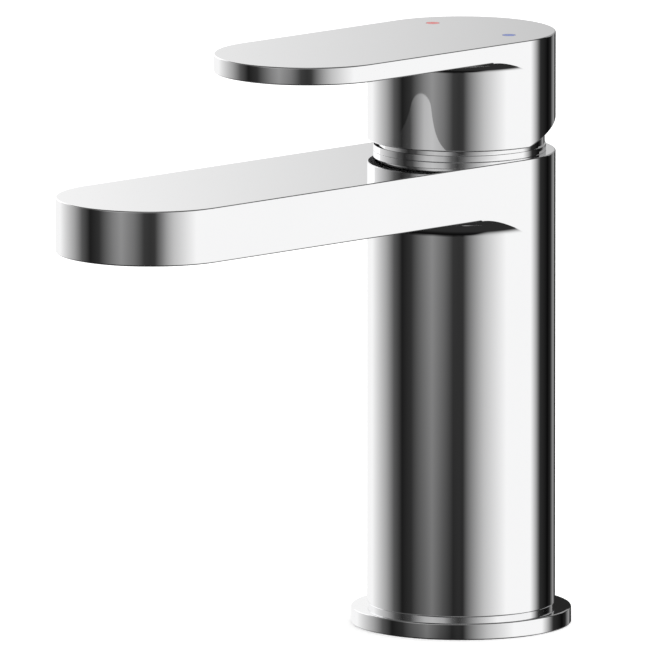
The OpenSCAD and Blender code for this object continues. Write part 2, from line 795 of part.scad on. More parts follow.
// Plug whose face follows the hub's round wall
module screw_plug() {
    color(grey_plastic) intersection() {
        translate([0, hub_bore_r - 1, set_screw_z]) rotate([-90, 0, 0])
            cylinder(d = plug_d - 2 * fit, h = plug_depth + 1);
        translate([0, 0, set_screw_z - plug_d])
            cylinder(r = column_r - plug_inset, h = 2 * plug_d);
    }
}

module index_dot() {
    translate([0, dot_offset, lever_z - dot_depth]) cylinder(d = dot_d, h = dot_depth);
}

module hot_index() {
    color(hot_red) translate([-dot_spacing / 2, 0, 0]) index_dot();
}

module cold_index() {
    color(cold_blue) translate([dot_spacing / 2, 0, 0]) index_dot();
}

// ---------- aerator ----------

module aerator_housing() {
    color(chrome) translate([0, -spout_reach, 0]) difference() {
        translate([0, 0, aerator_z]) cylinder(r = aerator_r, h = aerator_h);
        translate([0, 0, insert_z]) cylinder(r = aerator_cup_r, h = aerator_h);
        translate([0, 0, aerator_z - eps]) cylinder(r = aerator_cup_r - aerator_lip, h = aerator_h);
        for (i = [0 : key_notches - 1]) rotate(i * 360 / key_notches)
            translate([aerator_cup_r - aerator_lip - eps, -notch_key_w / 2, aerator_z - eps])
                cube([eps + 1.3, notch_key_w, eps + 1]);
    }
}

module aerator_insert() {
    color(grey_plastic) translate([0, -spout_reach, insert_z]) linear_extrude(honeycomb_h)
        difference() {
            circle(insert_r);
            for (p = hex_grid(cell_pitch, insert_r - cell_w / 2 - 0.9))
                translate(p) rotate(30) circle(d = cell_w / cos(30), $fn = 6);
        }
}

// Sieve on a rim that stands on the insert
module aerator_screen() {
    color(white_plastic) translate([0, -spout_reach, 0]) {
        translate([0, 0, screen_z]) linear_extrude(screen_t) difference() {
            circle(insert_r);
            for (p = hex_grid(screen_pitch, insert_r - screen_hole_d / 2 - 1.2))
                translate(p) circle(d = screen_hole_d, $fn = 6);
        }
        ring(insert_r, insert_r - 1, insert_z + honeycomb_h, screen_z - insert_z - honeycomb_h);
    }
}

module aerator_seal() {
    color(rubber) translate([0, -spout_reach, 0])
        ring(aerator_r - 0.2, aerator_chamber_r, aerator_top_z, aerator_seal_t);
}

body();
base_ring();
base_gasket();
inlet_block();
block_seals();
snap_ring();
cartridge_base();
port_seals();
disc_seals();
fixed_disc();
moving_disc();
disc_carrier();
cartridge_rotor();
stem_pin();
stem();
cartridge_housing();
housing_seal();
limit_ring();
retaining_nut();
cover_ring();
dome_cover();
lever_handle();
set_screw();
screw_plug();
hot_index();
cold_index();
aerator_housing();
aerator_insert();
aerator_screen();
aerator_seal();
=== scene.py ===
import math

import bmesh
import bpy
from mathutils import Matrix, Vector


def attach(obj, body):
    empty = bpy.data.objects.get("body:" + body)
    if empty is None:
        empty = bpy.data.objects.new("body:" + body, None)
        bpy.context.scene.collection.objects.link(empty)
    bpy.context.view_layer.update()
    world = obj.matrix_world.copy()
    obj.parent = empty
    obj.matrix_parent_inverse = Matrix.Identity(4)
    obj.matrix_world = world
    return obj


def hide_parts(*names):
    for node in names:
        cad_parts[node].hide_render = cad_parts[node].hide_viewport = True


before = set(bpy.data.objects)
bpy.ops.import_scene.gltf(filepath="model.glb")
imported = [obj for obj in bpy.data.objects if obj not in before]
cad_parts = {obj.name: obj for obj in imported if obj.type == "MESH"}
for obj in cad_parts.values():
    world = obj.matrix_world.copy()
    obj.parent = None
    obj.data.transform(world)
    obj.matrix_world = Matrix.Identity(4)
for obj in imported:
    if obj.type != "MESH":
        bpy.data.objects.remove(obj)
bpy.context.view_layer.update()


# ---------------------------------------------------------------- studio
# A white table inside a round cyclorama. Chrome only shows what stands round
# it: two wide softboxes, a grey card between dark gaps, black flags, a dark
# floor and ceiling, and a lit paper screen behind, for the level faces.

mm = 0.001
lens_azimuth = 46.0      # degrees from -Y towards +X
lens_elevation = 9.48
lens_half_angle = 0.7
film_width = 36
picture_width = 157.9 * mm
picture_centre = Vector((-30.01, -14.58, 68.68)) * mm

aim = math.radians(lens_azimuth)
tilt = math.radians(lens_elevation)
half_view = math.tan(math.radians(lens_half_angle))
to_lens = Vector((math.sin(aim) * math.cos(tilt), -math.cos(aim) * math.cos(tilt), math.sin(tilt)))

camera_data = bpy.data.cameras.new("camera")
camera_data.sensor_width = film_width
camera_data.lens = film_width / 2 / half_view
camera_data.clip_start, camera_data.clip_end = 1, 20
camera = bpy.data.objects.new("camera", camera_data)
camera.location = picture_centre + to_lens * (picture_width / 2 / half_view)
camera.rotation_mode = "QUATERNION"
camera.rotation_quaternion = (-to_lens).to_track_quat("-Z", "Y")
bpy.context.scene.collection.objects.link(camera)
bpy.context.scene.camera = camera
bpy.context.scene.view_settings.view_transform = "Standard"


def add(tree, kind, inputs=None, **options):
    """Adds a node with its options, and its inputs, each an output to link or a plain value."""
    made = tree.nodes.new(kind)
    for option, value in options.items():
        setattr(made, option, value)
    for name, value in (inputs or {}).items():
        if isinstance(value, bpy.types.NodeSocket):
            tree.links.new(value, made.inputs[name])
        else:
            made.inputs[name].default_value = value
    return made


def math_of(tree, operation, *values):
    """Arithmetic on outputs and numbers."""
    return add(tree, "ShaderNodeMath", dict(enumerate(values)), operation=operation).outputs[0]


def blend_of(tree, value, start, end, from_value=0.0, to_value=1.0, kind="SMOOTHSTEP"):
    """A value that goes from one number to another between two marks."""
    ends = {"From Min": start, "From Max": end, "To Min": from_value, "To Max": to_value}
    made = add(tree, "ShaderNodeMapRange", {"Value": value, **ends}, interpolation_type=kind)
    return made.outputs[0]


def mix_of(tree, share, below, above):
    """One brightness turning into another."""
    mixed = {"Factor": share, "A": below, "B": above}
    return add(tree, "ShaderNodeMix", mixed, clamp_factor=False).outputs["Result"]


def shades(tree, share, stops, low, high):
    """Brightness along a scale from low to high, given as (mark, brightness) stops."""
    made = add(tree, "ShaderNodeValToRGB", {"Fac": share})
    while len(made.color_ramp.elements) < len(stops):
        made.color_ramp.elements.new(0.5)
    for stop, (mark, brightness) in zip(made.color_ramp.elements, stops):
        stop.position = (mark - low) / (high - low)
        stop.color = (brightness, brightness, brightness, 1)
    return made.outputs["Color"]


def hang(name, mesh, brightness):
    """Hangs up a glowing cloth that shows in the chrome and nowhere else.

    The function brightness gives its glow, in its own tree, from the place on the cloth.
    """
    cloth = bpy.data.materials.new(name + "_cloth")
    cloth.use_nodes = True
    tree = cloth.node_tree
    tree.nodes.clear()
    place = add(tree, "ShaderNodeTexCoord").outputs["Object"]
    glow = add(tree, "ShaderNodeEmission", {"Strength": brightness(tree, place)})
    add(tree, "ShaderNodeOutputMaterial", {"Surface": glow.outputs[0]})
    mesh.materials.append(cloth)
    made = bpy.data.objects.new(name, mesh)
    made.visible_camera = made.visible_diffuse = made.visible_shadow = False
    made.visible_transmission = made.visible_volume_scatter = False
    bpy.context.scene.collection.objects.link(made)


# The cyclorama's lights, as (degrees from the lens, brightness), from behind the object round
# by its left, the lens and its right. Each light, card or gap is set by its edges and its
# brightest line alone. The card and the softboxes are dimmer in the low row.
cyclorama_r, cyclorama_low, cyclorama_high = 7.8, -8.4, 6.9
left_softbox = ((-180, 0.95), (-141, 0.98), (-106, 0.40), (-91, 0.10))
low_card = ((-78, 0.012), (-64, 0.03), (-36, 0.23), (-10, 0.03))
high_card = (
    (-79, 0.025), (-66, 0.07), (-46, 0.52), (-36, 0.58), (-22, 0.46), (-11, 0.12), (-3, 0.05),
)
low_softbox = ((2, 0.03), (28, 0.56), (57, 0.99), (94, 0.99))
high_softbox = ((5, 0.12), (46, 1.0), (97, 1.0))
flags_and_strip = (
    (109, 0.16), (113, 0.027), (132, 0.003), (142, 0.02), (155, 0.33), (161, 0.03), (180, 0.02),
)

# Heights of the low and the high row. The walls go from one to the other, and a little on past
# both, up to the limits.
low_at, high_at = -1.27, 1.59
low_limit, high_limit = -1.8, 2.1

# The floor below the walls is dark in front and lit behind, and comes in more slowly below the
# right softbox. Above the walls are a dimmer strip, in front only, and the dark ceiling.
floor_from, floor_to = -1.62, -3.26
near_floor_shade, floor_shade = 0.004, 0.026
soft_floor_from, soft_floor_to, soft_floor = math.radians(8), math.radians(40), -7.2
rear_floor_from, rear_floor_to, rear_floor_shade = math.radians(115), math.radians(135), 0.5
upper_from, upper_to, upper_shade = 1.9, 2.6, 0.35
upper_side_from, upper_side_to = math.radians(50), math.radians(80)
ceiling_from, ceiling_to, ceiling_shade = 4.2, 5.7, 0.10

# The card in front stands nearer than the rest, as (degrees, distance) along the wall. All
# heights are those on the full round wall, in line with the object at its eye height.
near_r, eye_height = 1.3, 0.06
wall_line = (
    (-180, cyclorama_r), (-80, cyclorama_r), (-35, near_r), (8, near_r), (30, cyclorama_r),
    (180, cyclorama_r),
)
wall_step = 2      # degrees


def wall_distance(turn):
    """Distance of the cyclorama at one angle from the lens, in degrees."""
    for (start, first), (end, last) in zip(wall_line, wall_line[1:]):
        if turn <= end:
            share = (turn - start) / (end - start)
            return first * (last / first) ** (share * share * (3 - 2 * share))


def wall_brightness(tree, place):
    """Brightness of the cyclorama, by the angle from the lens and the height."""
    facing = {"Vector": place, "Angle": -aim}
    facing_lens = add(tree, "ShaderNodeVectorRotate", facing, rotation_type="Z_AXIS")
    x, y, z = add(tree, "ShaderNodeSeparateXYZ", {"Vector": facing_lens.outputs["Vector"]}).outputs
    angle = math_of(tree, "ARCTAN2", x, math_of(tree, "MULTIPLY", y, -1))
    sideways = math_of(tree, "ABSOLUTE", angle)
    level = add(tree, "ShaderNodeCombineXYZ", {"X": x, "Y": y}).outputs[0]
    run = add(tree, "ShaderNodeVectorMath", {0: level}, operation="LENGTH").outputs["Value"]
    slope = math_of(tree, "DIVIDE", math_of(tree, "SUBTRACT", z, eye_height), run)
    height = math_of(tree, "MULTIPLY_ADD", slope, cyclorama_r, eye_height)

    around = blend_of(tree, angle, -math.pi, math.pi, kind="LINEAR")
    low_row = left_softbox + low_card + low_softbox + flags_and_strip
    high_row = left_softbox + high_card + high_softbox + flags_and_strip
    limits = [(limit - low_at) / (high_at - low_at) for limit in (low_limit, high_limit)]
    rise = blend_of(tree, height, low_limit, high_limit, *limits, kind="LINEAR")
    low_walls, high_walls = (shades(tree, around, row, -180, 180) for row in (low_row, high_row))
    walls = mix_of(tree, rise, low_walls, high_walls)
    rear = blend_of(tree, sideways, rear_floor_from, rear_floor_to)
    under = blend_of(tree, height, floor_to, cyclorama_low, near_floor_shade, floor_shade)
    floor = mix_of(tree, rear, under, rear_floor_shade)
    floor_edge = blend_of(tree, angle, soft_floor_from, soft_floor_to, floor_to, soft_floor)
    walls = mix_of(tree, blend_of(tree, height, floor_from, floor_edge), walls, floor)
    upper = math_of(
        tree, "MULTIPLY", blend_of(tree, height, upper_from, upper_to),
        blend_of(tree, sideways, upper_side_from, upper_side_to, 1, 0),
    )
    walls = mix_of(tree, upper, walls, upper_shade)
    return mix_of(tree, blend_of(tree, height, ceiling_from, ceiling_to), walls, ceiling_shade)


drum = bmesh.new()
drum_rows = []
for height in (cyclorama_low, cyclorama_high):
    row = []
    for turn in range(-180, 180, wall_step):
        distance = wall_distance(turn)
        at = aim + math.radians(turn)
        level = eye_height + (height - eye_height) * distance / cyclorama_r
        row.append(drum.verts.new((distance * math.sin(at), -distance * math.cos(at), level)))
    drum_rows.append(row)
for i in range(len(drum_rows[0])):
    drum.faces.new((drum_rows[0][i - 1], drum_rows[0][i], drum_rows[1][i], drum_rows[1][i - 1]))
drum_mesh = bpy.data.meshes.new("cyclorama")
drum.to_mesh(drum_mesh)
drum.free()
hang("cyclorama", drum_mesh, wall_brightness)

# Past the cyclorama's edges the chrome sees the dark floor and ceiling, with a small lamp
# overhead, as (steepness, brightness). Everything else is lit by plain white light all round.
overhead = (
    (-1, floor_shade), (0, floor_shade), (0.3, ceiling_shade), (0.994, ceiling_shade), (0.997, 0.6),
)
room_light = 1.15
world = bpy.data.worlds.new("studio")
bpy.context.scene.world = world
world.use_nodes = True
tree = world.node_tree
tree.nodes.clear()
direction = add(tree, "ShaderNodeTexCoord").outputs["Generated"]
climb = add(tree, "ShaderNodeSeparateXYZ", {"Vector": direction}).outputs["Z"]
steepness = blend_of(tree, climb, -1, 1, kind="LINEAR")
reflected = add(tree, "ShaderNodeBackground", {"Color": shades(tree, steepness, overhead, -1, 1)})
white = add(tree, "ShaderNodeBackground", {"Color": (1, 1, 1, 1), "Strength": room_light})
in_chrome = add(tree, "ShaderNodeLightPath").outputs["Is Glossy Ray"]
mixed = {0: in_chrome, 1: white.outputs[0], 2: reflected.outputs[0]}
pick = add(tree, "ShaderNodeMixShader", mixed)
add(tree, "ShaderNodeOutputWorld", {"Surface": pick.outputs[0]})

# White table, lit a little from below. It stays out of the chrome.
table_size, table_white, table_roughness, table_glow = 6.0, 0.9, 0.9, 0.35
bpy.ops.mesh.primitive_plane_add(size=table_size)
table = bpy.context.object
table.name = "table"
table.visible_glossy = False
table_paint = bpy.data.materials.new("table_paint")
table_paint.use_nodes = True
paint = table_paint.node_tree.nodes["Principled BSDF"]
paint.inputs["Base Color"].default_value = (table_white, table_white, table_white, 1)
paint.inputs["Roughness"].default_value = table_roughness
paint.inputs["Emission Color"].default_value = (1, 1, 1, 1)
paint.inputs["Emission Strength"].default_value = table_glow
table.data.materials.append(table_paint)

# Paper screen behind the table, brighter on the left, which the level faces show
screen_distance, screen_width = 0.55, 1.2
screen_low, screen_high = 0.16, 0.48
screen_left, screen_right = 0.91, 0.615
screen_from, screen_to = -93 * mm, 20 * mm
right = Vector((math.cos(aim), math.sin(aim), 0))
away = Vector((-math.sin(aim), math.cos(aim), 0))


def screen_brightness(tree, place):
    """Brightness of the screen, going on past its two marks at the same rate."""
    across = add(tree, "ShaderNodeVectorMath", {0: place, 1: right}, operation="DOT_PRODUCT")
    reach, fall = screen_to - screen_from, screen_left - screen_right
    return blend_of(
        tree, across.outputs["Value"], screen_from - reach, screen_to + reach,
        screen_left + fall, screen_right - fall, kind="LINEAR",
    )


screen_mesh = bpy.data.meshes.new("paper_screen")
screen_corners = [
    right * (side * screen_width / 2) + away * screen_distance + Vector((0, 0, height))
    for side, height in ((-1, screen_low), (1, screen_low), (1, screen_high), (-1, screen_high))
]
screen_mesh.from_pydata(screen_corners, [], [(0, 1, 2, 3)])
hang("paper_screen", screen_mesh, screen_brightness)


# ---------------------------------------------------------------- body
# One brass casting: a round column with a flat spout that ends in a half
# round. It is bored for the cartridge and the hoses, polished and chromed.

column_r = 22.5 * mm
body_top = 114.4 * mm
edge_r = 0.35 * mm
base_ring_h = 4 * mm
shadow_gap = 0.8 * mm
neck_r = 22.15 * mm
spigot_r = 19.5 * mm
spout_reach = 102.4 * mm
spout_t = 13.15 * mm
spout_fillet_r = 4.55 * mm
spout_marks = (-30 * mm, -48 * mm, -66 * mm, -84 * mm)      # along its straight sides
cavity_r, cavity_top = 17 * mm, 68 * mm
groove_r, groove_low, groove_high = 18 * mm, 50.75 * mm, 52.05 * mm
port_r, port_x, port_y = 3.2 * mm, 7 * mm, -5 * mm
seat_z, chamber_low, chamber_high, thread_low = 81 * mm, 84 * mm, 107 * mm, 110 * mm
land_r, chamber_r, nut_thread_r = 17.5 * mm, 19 * mm, 18.55 * mm
pin_hole_r, pin_hole_x, pin_hole_y, pin_hole_h = 2.05 * mm, 11.5 * mm, 7 * mm, 3.3 * mm
aerator_bore_r, aerator_ledge = 12 * mm, 109.85 * mm
outlet_r, outlet_top = 9.55 * mm, 111.4 * mm

arc_steps, side_steps, fillet_steps, hole_steps, small_hole_steps = 128, 6, 14, 48, 32
past_fillet = 0.6 * mm       # the first mark after a fillet
top_inset = 3 * mm           # from an arm's sides to the ring that its flat top is filled from
weld, same_mark = 0.2e-6, 1e-6
crisp = math.radians(20)     # edges that turn further than this stay sharp
cloud_detail, grain_detail = 4, 1


def plan(half_width, bow_r, bow_y, sides):
    """Plan of a piece: half circle behind, straight sides, and an arc in front."""
    spread = math.asin(min(1, half_width / bow_r))
    turn = [math.pi * i / arc_steps for i in range(arc_steps + 1)]
    swing = [spread * (2 * i / arc_steps - 1) for i in range(arc_steps + 1)]
    rear = [(half_width * math.cos(a), half_width * math.sin(a)) for a in turn]
    bow = [(bow_r * math.sin(a), -bow_y - bow_r * math.cos(a)) for a in swing]
    left = [(-half_width, y) for y in sides]
    return rear + left + bow + [(half_width, y) for y in reversed(sides)]


def column_plan(radius):
    """Plan of a column, or of the fillet round it, as wide as the arm above."""
    half_width = min(column_r, radius)
    depth = -math.sqrt(radius ** 2 - half_width ** 2)
    return plan(half_width, radius, 0, [depth * i / side_steps for i in range(1, side_steps)])


def circle(radius, at=(0, 0), steps=2 * arc_steps):
    """Plan of a round piece."""
    turn = [2 * math.pi * i / steps for i in range(steps)]
    return [(at[0] + radius * math.cos(a), at[1] + radius * math.sin(a)) for a in turn]


def rounding(steps=5):
    """Points of a quarter round, as (how far out, how far up) shares of its radius."""
    turn = [math.pi / 2 * i / steps for i in range(steps + 1)]
    return [(math.sin(a), 1 - math.cos(a)) for a in turn]


def ring(mesh, outline, height):
    """An outline's points at one height, or on the slope that height gives."""
    level = height if callable(height) else (lambda x, y: height)
    return [mesh.verts.new((x, y, level(x, y))) for x, y in outline]


def skin(mesh, rings):
    """Walls from each ring to the next. Points that meet are merged later."""
    for low, high in zip(rings, rings[1:]):
        for i in range(len(low)):
            mesh.faces.new((low[i - 1], low[i], high[i], high[i - 1]))


def turned(mesh, profile, at=(0, 0), steps=2 * arc_steps):
    """Walls of a round piece, from its (radius, height) profile."""
    rings = [ring(mesh, circle(radius, at, steps), height) for radius, height in profile]
    skin(mesh, rings)
    return rings


def pocket(mesh, radius, at, mouth, floor, steps=hole_steps):
    """A blind hole."""
    mesh.faces.new(turned(mesh, [(radius, mouth), (radius, floor)], at, steps)[1])


def fillet_under(arm_z, radius):
    """Profile of the fillet that runs from the column out to an arm's underside."""
    points = rounding(fillet_steps)
    return [(column_r + radius * up, arm_z - radius + radius * out) for out, up in points]


def arm(mesh, reach, fillet_r, marks, low, high):
    """Skin of a flat arm. From the fillet's end on, its lower edge is rounded too."""
    end = -math.sqrt((column_r + fillet_r) ** 2 - column_r ** 2)
    sides = [end * i / side_steps for i in range(1, side_steps + 1)] + [end - past_fillet, *marks]
    wall = plan(column_r, column_r, reach, sides)
    rows = []
    for out, up in rounding():
        inset_r = column_r - edge_r * (1 - out)
        rounded = plan(inset_r, inset_r, reach, sides)
        edge = [w if w[1] > end - same_mark else p for w, p in zip(wall, rounded)]
        rows.append(ring(mesh, edge, low + edge_r * up))
    for out, up in rounding():
        inset_r = column_r - edge_r * up
        rows.append(ring(mesh, plan(inset_r, inset_r, reach, sides), high - edge_r * (1 - out)))
    inset_r = column_r - top_inset
    rows.append(ring(mesh, plan(inset_r, inset_r, reach, sides), high))
    skin(mesh, rows)


def merge(mesh):
    """Welds the points that meet."""
    bmesh.ops.remove_doubles(mesh, verts=mesh.verts, dist=weld)
    bmesh.ops.dissolve_degenerate(mesh, edges=mesh.edges, dist=weld)


def face_off(mesh, height):
    """Fills the flat face at one height, round whatever holes open in it."""
    merge(mesh)
    level = [e for e in mesh.edges if all(abs(v.co.z - height) < weld / 2 for v in e.verts)]
    rim = [e for e in level if e.is_boundary]
    bmesh.ops.triangle_fill(mesh, use_beauty=True, edges=rim)


def new_piece(name, mesh):
    """Makes the closed mesh an object, its faces turned outwards."""
    merge(mesh)
    bmesh.ops.recalc_face_normals(mesh, faces=mesh.faces)
    data = bpy.data.meshes.new(name)
    mesh.to_mesh(data)
    mesh.free()
    made = bpy.data.objects.new(name, data)
    bpy.context.scene.collection.objects.link(made)
    return made


def dress(made, material, slot, body, *stands_for):
    """Gives a piece its finish and crisp edges, and puts it on its CAD body."""
    made.data.shade_smooth()
    made.data.set_sharp_from_angle(angle=crisp)
    made.data.materials.clear()
    made.data.materials.append(material)
    level = made.modifiers.new("level_faces", "WEIGHTED_NORMAL")
    level.keep_sharp = True
    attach(made, body)
    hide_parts(*stands_for)


def noise_of(tree, size_from, detail):
    """Noise whose size in metres is an output of the tree."""
    place = add(tree, "ShaderNodeTexCoord").outputs["Object"]
    scale = math_of(tree, "DIVIDE", 1, size_from)
    fineness = {"Vector": place, "Scale": scale, "Detail": detail}
    return add(tree, "ShaderNodeTexNoise", fineness).outputs["Fac"]


def wear_group():
    """What any handled or moulded face has: cloudy wipe marks in its gloss, and a faint grain."""
    tree = bpy.data.node_groups.new("surface_wear", "ShaderNodeTree")
    for name in ("Mark Size", "Grain Size", "Roughness", "Spread"):
        tree.interface.new_socket(name, in_out="INPUT", socket_type="NodeSocketFloat")
    for name in ("Roughness", "Grain", "Marks"):
        tree.interface.new_socket(name, in_out="OUTPUT", socket_type="NodeSocketFloat")
    given = add(tree, "NodeGroupInput").outputs
    marks = noise_of(tree, given["Mark Size"], cloud_detail)
    grain = noise_of(tree, given["Grain Size"], grain_detail)
    centred = math_of(tree, "SUBTRACT", marks, 0.5)
    roughness = math_of(tree, "MULTIPLY_ADD", centred, given["Spread"], given["Roughness"])
    add(tree, "NodeGroupOutput", {"Roughness": roughness, "Grain": grain, "Marks": marks})
    return tree


surface_wear = wear_group()


def finish(name, colour, worn_colour, metallic, gloss, mark_size, grain):
    """A finish whose colour, gloss and grain vary as the real one's do.

    Gloss is (roughness, how far the marks change it), and grain is (size, depth).
    """
    made = bpy.data.materials.new(name)
    made.use_nodes = True
    tree = made.node_tree
    roughness, spread = gloss
    grain_size, grain_depth = grain
    sizes = {"Mark Size": mark_size, "Grain Size": grain_size}
    wear = add(tree, "ShaderNodeGroup", node_tree=surface_wear)
    for socket, value in {**sizes, "Roughness": roughness, "Spread": spread}.items():
        wear.inputs[socket].default_value = value
    colours = {"Factor": wear.outputs["Marks"], "A": (*colour, 1), "B": (*worn_colour, 1)}
    hue = add(tree, "ShaderNodeMix", colours, data_type="RGBA")
    relief = {"Strength": 1, "Distance": grain_depth, "Height": wear.outputs["Grain"]}
    bump = add(tree, "ShaderNodeBump", relief)
    shader = tree.nodes["Principled BSDF"]
    shader.inputs["Metallic"].default_value = metallic
    tree.links.new(hue.outputs["Result"], shader.inputs["Base Color"])
    tree.links.new(wear.outputs["Roughness"], shader.inputs["Roughness"])
    tree.links.new(bump.outputs["Normal"], shader.inputs["Normal"])
    return made


polished_chrome = finish(
    "polished_chrome", (0.94, 0.94, 0.945), (0.92, 0.92, 0.925), metallic=1, gloss=(0.03, 0.02),
    mark_size=30 * mm, grain=(9 * mm, 0.4e-6),
)

spout_z = body_top - spout_t
foot_z = base_ring_h + shadow_gap

# From the hose cavity's top down to the foot, and up the outside to the spout
casting = bmesh.new()
walls = [(cavity_r, cavity_top), (cavity_r, groove_high), (groove_r, groove_high)]
walls += [(groove_r, groove_low), (cavity_r, groove_low), (cavity_r, 0), (spigot_r, 0)]
walls += [(spigot_r, base_ring_h), (neck_r, base_ring_h), (neck_r, foot_z)]
walls += [(neck_r + edge_r * out, foot_z + edge_r * up) for out, up in rounding()]
walls += fillet_under(spout_z, spout_fillet_r)
skin(casting, [ring(casting, column_plan(radius), height) for radius, height in walls])
arm(casting, spout_reach, spout_fillet_r, spout_marks, spout_z, body_top)

bore = [(nut_thread_r, body_top), (nut_thread_r, thread_low), (land_r, thread_low)]
bore += [(land_r, chamber_high), (chamber_r, chamber_high), (chamber_r, chamber_low)]
bore += [(land_r, chamber_low), (land_r, seat_z)]
turned(casting, bore)
for side in (-1, 1):
    port = [(port_r, cavity_top), (port_r, seat_z)]
    turned(casting, port, (side * port_x, port_y), hole_steps)
    pin_hole = (side * pin_hole_x, pin_hole_y)
    pocket(casting, pin_hole_r, pin_hole, seat_z, seat_z - pin_hole_h, small_hole_steps)
outlet = [(aerator_bore_r, spout_z), (aerator_bore_r, aerator_ledge)]
outlet += [(outlet_r, aerator_ledge), (outlet_r, outlet_top)]
casting.faces.new(turned(casting, outlet, (0, -spout_reach))[-1])
for height in (cavity_top, seat_z, spout_z, body_top):
    face_off(casting, height)
mixer_casting = new_piece("mixer_casting", casting)
dress(mixer_casting, polished_chrome, "chrome_body", "mixer_body", "body")


# ---------------------------------------------------------------- base ring
# A chromed ring that slips over the spigot under the column and hides the
# edge of the basin's hole. A black rubber gasket lies in its underside.

base_ring_r, base_ring_bore = 26.35 * mm, 19.55 * mm
gasket_groove_in, gasket_groove_out, gasket_groove_h = 21.075 * mm, 24.775 * mm, 1.85 * mm


def rounded_rim(radius, corner_r, low, high):
    """Profile of a ring's outer wall, with both its corners rounded."""
    rim = [(radius - corner_r * (1 - out), low + corner_r * up) for out, up in rounding()]
    return rim + [(radius - corner_r * up, high - corner_r * (1 - out)) for out, up in rounding()]


flange = bmesh.new()
section = [(base_ring_bore, base_ring_h), (base_ring_bore, 0)]
section += [(gasket_groove_in, 0), (gasket_groove_in, gasket_groove_h)]
section += [(gasket_groove_out, gasket_groove_h), (gasket_groove_out, 0)]
section += rounded_rim(base_ring_r, edge_r, 0, base_ring_h)
turned(flange, section + section[:1])
base_flange = new_piece("base_flange", flange)
dress(base_flange, polished_chrome, "chrome_trim", "mixer_body", "base_ring")


def repaint(material, *names):
    """Gives CAD nodes whose shape is right their finish."""
    for name in names:
        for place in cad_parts[name].material_slots:
            place.material = material


black_rubber = finish(
    "black_rubber", (0.028, 0.028, 0.03), (0.04, 0.04, 0.042), metallic=0, gloss=(0.62, 0.2),
    mark_size=4 * mm, grain=(0.35 * mm, 0.02 * mm),
)
repaint(black_rubber, "base_gasket")


# ---------------------------------------------------------------- inlet block
# A turned brass block in the foot takes the two hoses and the fixing stud.
# It is sealed to the waterways by two O-rings and held by a steel snap ring.

turned_brass = finish(
    "turned_brass", (0.78, 0.57, 0.27), (0.66, 0.47, 0.22), metallic=1, gloss=(0.28, 0.16),
    mark_size=6 * mm, grain=(0.5 * mm, 0.004 * mm),
)
spring_steel = finish(
    "spring_steel", (0.56, 0.56, 0.57), (0.44, 0.44, 0.46), metallic=1, gloss=(0.3, 0.16),
    mark_size=5 * mm, grain=(0.4 * mm, 0.003 * mm),
)
repaint(turned_brass, "inlet_block")
repaint(black_rubber, "block_seals")
repaint(spring_steel, "snap_ring")


# ---------------------------------------------------------------- cartridge
# The valve: a moulded housing and base, two lapped ceramic discs, and the
# rotor and carrier that a square stem moves. Seals close it against the body.

moulded_grey = finish(
    "moulded_grey", (0.16, 0.17, 0.18), (0.1536, 0.1632, 0.1728), metallic=0, gloss=(0.42, 0.14),
    mark_size=7 * mm, grain=(0.3 * mm, 0.006 * mm),
)
moulded_white = finish(
    "moulded_white", (0.68, 0.67, 0.62), (0.64, 0.62, 0.56), metallic=0, gloss=(0.4, 0.14),
    mark_size=7 * mm, grain=(0.3 * mm, 0.006 * mm),
)
lapped_ceramic = finish(
    "lapped_ceramic", (0.84, 0.81, 0.74), (0.8, 0.76, 0.68), metallic=0, gloss=(0.16, 0.1),
    mark_size=5 * mm, grain=(0.15 * mm, 0.001 * mm),
)
moulded_red = finish(
    "moulded_red", (0.5, 0.03, 0.03), (0.48, 0.0288, 0.0288), metallic=0, gloss=(0.34, 0.12),
    mark_size=6 * mm, grain=(0.3 * mm, 0.005 * mm),
)
repaint(moulded_grey, "cartridge_base", "cartridge_housing")
repaint(black_rubber, "port_seals", "disc_seals", "housing_seal")
repaint(lapped_ceramic, "fixed_disc", "moving_disc")
repaint(moulded_white, "disc_carrier", "cartridge_rotor")
repaint(spring_steel, "stem_pin", "stem")
repaint(moulded_red, "limit_ring")


# ---------------------------------------------------------------- nut and dome
# A brass nut holds the cartridge down. A chromed cover ring and a thin chromed
# dome hide it, and the dome's round top lets the hub tilt over it.

repaint(turned_brass, "retaining_nut")

pivot_z = 110 * mm
cover_inner_r = 18.1 * mm
cover_ring_r, cover_ring_shift = 20.64 * mm, 0.6 * mm
cover_edge_r = 0.15 * mm
dome_z = 116 * mm
dome_r, dome_ball_r, dome_inner_ball_r = 19.9 * mm, 21.406 * mm, 20.006 * mm
dome_opening_r = 15.15 * mm
dome_steps, dome_inner_steps = 16, 12

# The ring's edge is set a little forward of its bore, clear of the hub's rear foot
trim = bmesh.new()
rows = [ring(trim, circle(cover_inner_r), height) for height in (dome_z, body_top)]
for radius, height in rounded_rim(cover_ring_r, cover_edge_r, body_top, dome_z):
    rows.append(ring(trim, circle(radius, (0, -cover_ring_shift)), height))
skin(trim, rows + rows[:1])
cover_trim = new_piece("cover_trim", trim)
dress(cover_trim, polished_chrome, "chrome_trim", "mixer_body", "cover_ring")


def ball_arc(ball_r, start, end, steps):
    """Points of the dome's section on a ball round the stem's pivot, from one radius to another."""
    radii = [start + (end - start) * i / steps for i in range(steps + 1)]
    return [(radius, pivot_z + math.sqrt(ball_r ** 2 - radius ** 2)) for radius in radii]


shell = bmesh.new()
section = [(cover_inner_r, dome_z), (dome_r, dome_z)]
section += ball_arc(dome_ball_r, dome_r, dome_opening_r, dome_steps)
section += ball_arc(dome_inner_ball_r, dome_opening_r, cover_inner_r, dome_inner_steps)
turned(shell, section + section[:1])
dome = new_piece("dome", shell)
dress(dome, polished_chrome, "chrome_trim", "mixer_body", "dome_cover")


